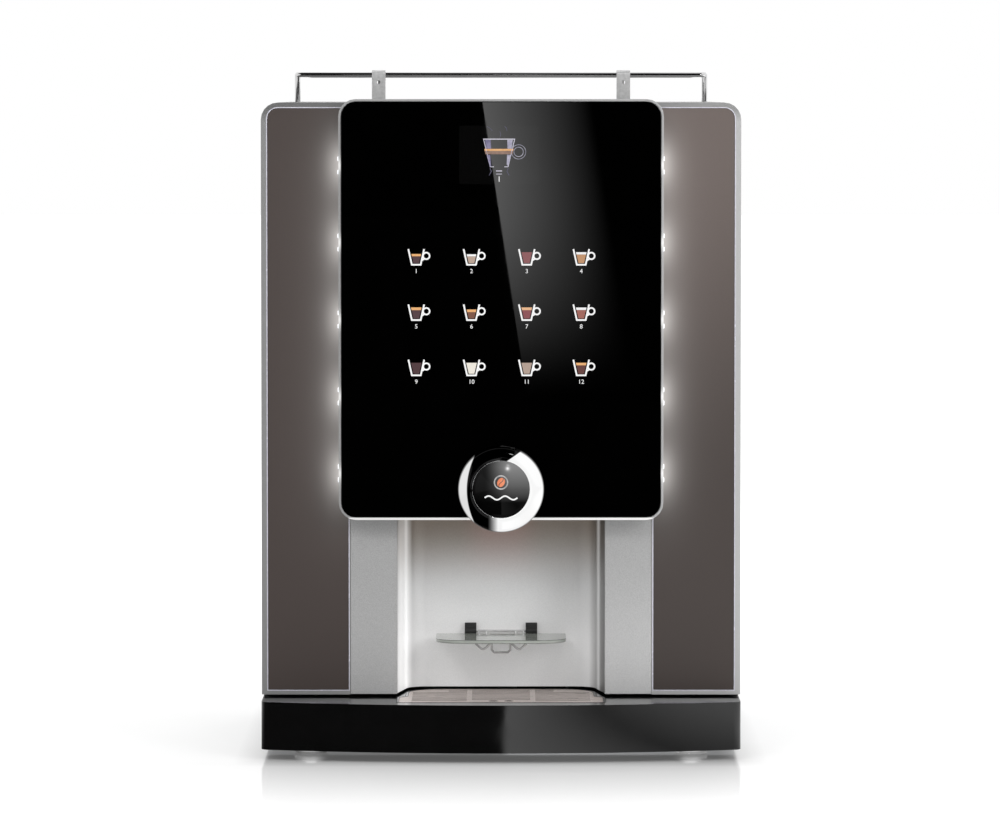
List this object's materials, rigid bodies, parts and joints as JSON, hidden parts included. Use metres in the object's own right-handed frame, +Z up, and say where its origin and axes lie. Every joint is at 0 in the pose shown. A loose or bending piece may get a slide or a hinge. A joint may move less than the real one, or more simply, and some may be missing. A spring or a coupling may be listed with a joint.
{
  "type": "hot coffee vending machine",
  "caption": "Table-top hot drinks machine with a touch fascia on a hinged door, lit cup niche, folding cup shelf, lift-out drip tray, hinged lid with cup rail, and brewing and mixing works.",
  "frame": {"origin": "on the surface that the machine stands on, under the middle of its outer box", "axes": "+Z up, front towards -Y, +X on the viewer's right"},
  "size_m": [0.56, 0.6, 0.8002],
  "materials": {
    "silver": "satin silver paint on a plastic moulding",
    "silver_sheet": "satin silver powder coat on steel sheet",
    "satin_column": "fine-speckled satin silver",
    "brown_panel": "satin brown-grey",
    "black_gloss": "high gloss",
    "black_matt": "matt",
    "black_glass": "polished, opaque black",
    "chrome": "polished",
    "steel": "brushed",
    "zinc": "zinc-plated",
    "light_bar": "translucent white, lit",
    "clear_glass": "polished",
    "clear_plastic": "smoked clear",
    "white_plastic": "satin",
    "grey_plastic": "satin",
    "brass": "turned",
    "red_plastic": "satin"
  },
  "bodies": {
    "cabinet": {"base_fascia": "black_gloss", "base_pan": "zinc", "foot_front_left": "chrome", "foot_front_right": "chrome", "foot_rear_left": "chrome", "foot_rear_right": "chrome", "cabinet_shell": "silver_sheet", "rear_cover": "zinc", "inner_deck": "zinc", "canister_shelf": "zinc", "door_hinge_lower": "steel", "door_hinge_upper": "steel", "power_inlet": "black_matt", "water_inlet": "brass", "bean_hopper": "clear_plastic", "hopper_lid": "grey_plastic", "grinder": "grey_plastic", "brew_unit": "grey_plastic", "canister_left": "white_plastic", "canister_right": "white_plastic", "canister_lid_left": "grey_plastic", "canister_lid_right": "grey_plastic", "mixing_bowl_left": "white_plastic", "mixing_bowl_right": "white_plastic", "mixer_motors": "zinc", "boiler": "black_matt", "pump": "black_matt", "control_box": "grey_plastic", "waste_bin": "grey_plastic"},
    "door": {"door_frame": "silver", "door_panel_left": "brown_panel", "door_panel_right": "brown_panel", "niche_column_left": "satin_column", "niche_column_right": "satin_column", "fascia_bezel": "silver", "fascia_glass": "black_glass", "display_module": "black_matt", "led_strip_left": "light_bar", "led_strip_right": "light_bar", "badge_ring": "chrome", "badge_dome": "black_gloss", "niche_liner": "satin_column", "spout": "black_matt", "shelf_bracket_left": "black_matt", "shelf_bracket_right": "black_matt", "lock_cylinder": "chrome"},
    "lock_cam": {"lock_cam": "steel"},
    "cup_shelf": {"cup_shelf_glass": "clear_glass", "cup_shelf_wire": "chrome"},
    "drip_tray": {"drip_tray": "black_gloss"},
    "drip_grille": {"drip_grille": "steel"},
    "lid": {"top_lid": "silver", "rail_ring": "chrome", "rail_clip_left": "chrome", "rail_clip_right": "chrome"},
    "brew_piston": {"brew_piston": "steel"},
    "auger_left": {"auger_left": "white_plastic"},
    "auger_right": {"auger_right": "white_plastic"},
    "whipper_left": {"whipper_left": "red_plastic"},
    "whipper_right": {"whipper_right": "red_plastic"}
  },
  "joints": [
    {"name": "door_hinge", "type": "hinge", "parent": "cabinet", "child": "door", "pos_m": [-0.274, -0.16, 0.07], "axis": [0, 0, -1], "range_deg": [0, 95]},
    {"name": "lock_turn", "type": "hinge", "parent": "door", "child": "lock_cam", "pos_m": [0.25, -0.172, 0.368], "axis": [1, 0, 0], "range_deg": [0, 90]},
    {"name": "cup_shelf_fold", "type": "hinge", "parent": "door", "child": "cup_shelf", "pos_m": [0, -0.1085, 0.137], "axis": [-1, 0, 0], "range_deg": [0, 80]},
    {"name": "drip_tray_lift", "type": "slide", "parent": "cabinet", "child": "drip_tray", "axis": [0, 0, 1], "range_m": [0, 0.03]},
    {"name": "drip_grille_lift", "type": "slide", "parent": "drip_tray", "child": "drip_grille", "axis": [0, 0, 1], "range_m": [0, 0.01]},
    {"name": "lid_hinge", "type": "hinge", "parent": "cabinet", "child": "lid", "pos_m": [0, 0.298, 0.7388], "axis": [-1, 0, 0], "range_deg": [0, 75]},
    {"name": "brew_piston_slide", "type": "slide", "parent": "cabinet", "child": "brew_piston", "axis": [0, 0, 1], "range_m": [0, 0.045]},
    {"name": "auger_left_turn", "type": "hinge", "parent": "cabinet", "child": "auger_left", "pos_m": [0.005, 0, 0.52], "axis": [0, 1, 0], "continuous": true},
    {"name": "whipper_left_turn", "type": "hinge", "parent": "cabinet", "child": "whipper_left", "pos_m": [0.005, 0, 0.376], "axis": [0, 1, 0], "continuous": true},
    {"name": "auger_right_turn", "type": "hinge", "parent": "cabinet", "child": "auger_right", "pos_m": [0.181, 0, 0.52], "axis": [0, 1, 0], "continuous": true},
    {"name": "whipper_right_turn", "type": "hinge", "parent": "cabinet", "child": "whipper_right", "pos_m": [0.181, 0, 0.376], "axis": [0, 1, 0], "continuous": true}
  ]
}
